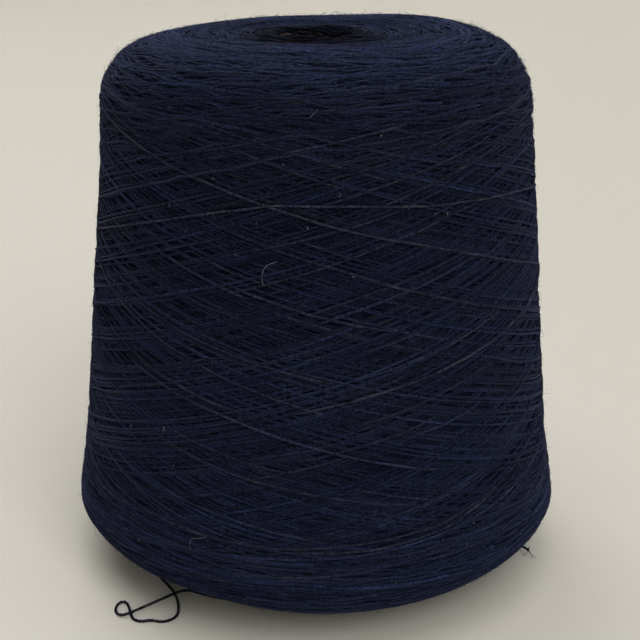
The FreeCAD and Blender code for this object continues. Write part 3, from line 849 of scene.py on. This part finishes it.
TOP_ARCS = ENDS[0][2]
in_pieces("end_turns_top", [run for arc in arcs[:TOP_ARCS] for run in seen_runs(*arc, 12)], 6)
in_pieces("end_turns_underside", [run for arc in arcs[TOP_ARCS:] for run in seen_runs(*arc, 12)], 4)
runs = [run for sweep in sweeps for run in seen_runs(*sweep, 12)]
in_pieces("winding_under", [run for run in runs if run[2] < UNDER], 4)
winding = in_pieces("winding", [run for run in runs if run[2] >= UNDER], 6)
in_pieces("winding_proud", [run for strand in proud_strands for run in seen_runs(*strand, 6)], 6)
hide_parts("outer_winding")

# %% [markdown]
# ## Slack loops round the nose
# Where the winding meets the tube's nose, the inner turns have lost their hold. They lie in slack,
# eccentric loops on the rolled rim and beside it, a few hang over the opening, and together they
# hide the rim. Those over the opening see less light and are drawn darker. They are laid one by one
# as the strands were, on a height map that looks straight down into the crater.

# %% Loops
LOOPS = 84
PIT_CELL = 0.3       # mm, the cells of this map
PIT_HALF = 34.0      # mm, half the map's width
RIM_RADIUS = 15.4    # mm, where the rolled rim is highest
RIM_ROLL = 1.9       # mm, the roll's own radius
LOOP_RADIUS = 0.36   # mm, half the yarn, a little fuller than on the flank because it is slack
INNERMOST = 12.2     # mm from the axis, as far as a loop may hang over the opening
SWINGS = [(1, 1.2), (2, 0.9), (3, 0.6), (5, 0.4), (9, 0.22), (14, 0.12)]    # waves a turn, mm
PILE = [(11.0, 4.0), (15.0, 0.8), (19.0, 0.7), (23.0, 0.1), (30.0, -0.2)]   # mm out, mm high
SHADE = [(12.0, 0.2), (19.0, 0.28), (22.0, 0.8), (27.0, 2.2)]               # mm out, lightness
PIT_MIDDLE = (-2.0, -3.5)    # mm, the middle of the shaded part


def pit_ground(from_axis):
    """The height, in mm, of what carries a loop: the crater, the rim, or its own hang inside it."""
    crater = np.interp(from_axis, [r for r, _ in CRATER[::-1]], [z for _, z in CRATER[::-1]])
    roll = np.sqrt(np.maximum(RIM_ROLL ** 2 - (from_axis - RIM_RADIUS) ** 2, 0.0))
    outside = np.maximum(crater, NOSE - RIM_ROLL + roll)
    hang = NOSE - 0.9 * np.maximum(RIM_RADIUS - from_axis, 0.0) ** 1.6
    return np.where(from_axis < RIM_RADIUS, hang, outside)


cells = np.arange(-PIT_HALF, PIT_HALF, PIT_CELL)
pit = pit_ground(np.hypot(*np.meshgrid(cells, cells, indexing="ij")))
loops, loop_looks = [], []
for i in range(LOOPS):
    turn = np.arange(0.0, random.uniform(3.4, 7.4), 0.02)
    size = 13.0 + 10.0 * random.uniform(0.0, 1.0) ** 1.5
    rise = random.uniform(0.0, 0.5)
    for waves, swing in SWINGS:
        swing = random.normal(0.0, swing)
        size = size + swing * np.sin(waves * turn + random.uniform(0.0, FULL_TURN))
    size = size + random.normal(0.0, 1.2) * turn / turn[-1]
    bearing = turn + random.uniform(0.0, FULL_TURN)
    x = size * np.cos(bearing) + random.normal(-0.5, 0.7)
    y = size * np.sin(bearing) + random.normal(0.6, 0.7)
    from_axis = np.hypot(x, y)
    within = np.clip(from_axis, INNERMOST, PIT_HALF - 3.0) / from_axis
    x, y, from_axis = x * within, y * within, from_axis * within
    column, row = [np.rint((v + PIT_HALF) / PIT_CELL).astype(int) for v in (x, y)]
    under = [(column + a, row + b) for a in (-1, 0, 1) for b in (-1, 0, 1)]
    rest = np.max([pit[place] for place in under], axis=0) + LOOP_RADIUS / 2
    rest = np.minimum(rest, pit_ground(from_axis) + np.interp(from_axis, *zip(*PILE)))
    middle = running(running(rest, 5, np.max), 8, np.mean)
    middle += rise * (1.0 + np.sin(random.integers(2, 6) * turn + random.uniform(0.0, FULL_TURN)))
    middle -= 1.5 * np.maximum(0.0, 1.0 - np.minimum(turn, turn[-1] - turn) / 0.3)
    for place in under:
        np.maximum.at(pit, place, middle + 0.3)
    loops.append(np.column_stack([x, y, middle])[::6] * MM)
    shaded = np.interp(np.hypot(x - PIT_MIDDLE[0], y - PIT_MIDDLE[1]), *zip(*SHADE))[::6]
    loop_looks.append((0.0, shaded * math.exp(random.normal(0.0, 0.4))))
strands("slack_loops", loops, LOOP_RADIUS * MM, looks=loop_looks)

# %% [markdown]
# ## Stray fibres and lint
# Wool fibres are only a few centimetres long, so thousands of their ends stand out of the strands
# as a faint fuzz. A real one is 0.02 mm thick; these are drawn three times as thick and in far
# smaller number, because finer ones would vanish in the picture. Pale specks of lint and a few
# longer hairs have caught on the yarn too. Those on the side that the photograph shows lie where
# they lie there.

# %% Fuzz
HAIRS = 24000
HAIR_RADIUS = 0.028  # mm
AT_THE_TOP = 0.35    # the share of them that is added above the flank, where the yarn is slackest
stray_wool = wool_material("stray_wool_fibre", "#1b2136", "#7b7f8c", 0.0, 0.1)
start = random.uniform(0.0, FULL_TURN, HAIRS)
start_along = np.where(random.uniform(0.0, 1.0, HAIRS) < AT_THE_TOP,
                       random.uniform(170.0, SKIN_END - 4.0, HAIRS),
                       random.uniform(12.0, SKIN_END - 4.0, HAIRS))
heading = np.radians(17.0) * random.choice([-1, 1], HAIRS) + random.normal(0.0, 0.45, HAIRS)
heading += np.pi * random.integers(0, 2, HAIRS)
long = np.clip(0.9 + random.exponential(1.0, HAIRS), 0.0, 4.5)[:, None]
lift = 0.25 + random.exponential(0.35, HAIRS)
share = np.array([0.0, 0.5, 1.0])
bow = random.normal(0.0, 0.4, HAIRS)[:, None] * share * (1 - share) * 4
up, onward = np.sin(heading)[:, None], np.cos(heading)[:, None]
hair_along = start_along[:, None] + up * long * share + bow * onward
hair_out = np.interp(start_along, skin_at, skin[:, 0])[:, None]
hair_angle = start[:, None] + (onward * long * share - bow * up) / hair_out
hair_height = -0.1 + lift[:, None] * share * (1.6 - 0.8 * share)
hairs = on_skin(hair_angle.ravel(), np.clip(hair_along, 2.0, SKIN_END - 2.0).ravel(),
                hair_height.ravel()).reshape(HAIRS, len(share), 3)
for i in range(3):
    strands("stray_fibres_%d" % (i + 1), list(hairs[i::3]), HAIR_RADIUS * MM, 0, stray_wool)

# %% Lint
lint_wool = wool_material("pale_lint", "#4b4f5b", "#8b8e99", 0.0, 0.0)
LINT_RADIUS = 0.085  # mm
SPECKS = [(-97, 173.9), (-114, 169.0), (-103, 157.7), (-92, 156.8), (-108, 148.1), (-92, 143.9),
          (-126, 159.2), (-75, 180.5), (-85, 165.1), (-68, 161.3), (-62, 158.0), (-58, 157.9),
          (-82, 142.9), (-145, 65.3), (-139, 60.3), (-135, 62.8), (-132, 55.9), (-123, 83.5),
          (-62, 62.6), (-56, 58.6), (-53, 64.1), (-77, 74.3), (-73, 52.6), (-78, 49.2),
          (-126, 94.9), (-137, 90.4)]
LINT_HAIRS = [[(-101.7, 140.7), (-101.9, 142.6), (-101.7, 144.6), (-101.1, 146.0), (-99.9, 146.8),
               (-98.6, 147.3)],
              [(-117.8, 59.5), (-117.9, 61.0), (-117.7, 62.6), (-116.8, 63.3), (-115.3, 63.7),
               (-113.9, 64.5)],
              [(-91.2, 186.1), (-90.3, 187.2), (-89.4, 188.2)]]
for i in range(45):
    SPECKS.append((random.uniform(-20.0, 200.0), random.uniform(40.0, 200.0)))
lint = []
for angle, along in SPECKS:
    curl = np.cumsum(random.normal(0.0, 0.22, (7, 2)), axis=0)
    out = float(np.interp(along, skin_at, skin[:, 0]))
    lint.append(on_skin(math.radians(angle) + curl[:, 0] / out, along + curl[:, 1],
                        0.32 + random.normal(0.0, 0.04, 7)))
for places in LINT_HAIRS:
    at, along_at = np.array(places, float).T
    share = np.linspace(0.0, 1.0, 12)
    steps = np.linspace(0.0, 1.0, len(places))
    lint.append(on_skin(np.radians(np.interp(share, steps, at)), np.interp(share, steps, along_at),
                        0.34 + 0.2 * np.sin(math.pi * share)))
strands("lint", lint, LINT_RADIUS * MM, 0, lint_wool, looks=[(0.15, 1.0)] * len(lint))

# %% [markdown]
# ## The reserve turns
# The first turns of the yarn lie round the bare foot of the tube, where the machine caught its end.
# They can only be seen from below or very low, but they carry the loose tail.

# %% Reserve turns
RESERVE_TURNS = 4
RESERVE_PITCH = 1.4                  # mm from one turn to the next
RESERVE_END = math.radians(161.0)    # where the lowest turn goes over into the tail
PLY, TWIST = 0.21 * MM, 0.19 * MM    # a ply's radius, and its distance from the middle
turn = np.linspace(0.0, RESERVE_TURNS * FULL_TURN, 400)
foot = 1.2 + RESERVE_PITCH * turn / FULL_TURN
foot_out = tube_outside(foot) + 0.7
reserve_line = np.column_stack([foot_out * np.cos(RESERVE_END - turn),
                                foot_out * np.sin(RESERVE_END - turn), foot]) * MM
reserve = strands("reserve_yarn", plies(evenly(reserve_line, 0.6 * MM), TWIST, PLY_PITCH * MM), PLY)
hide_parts("reserve_turns")
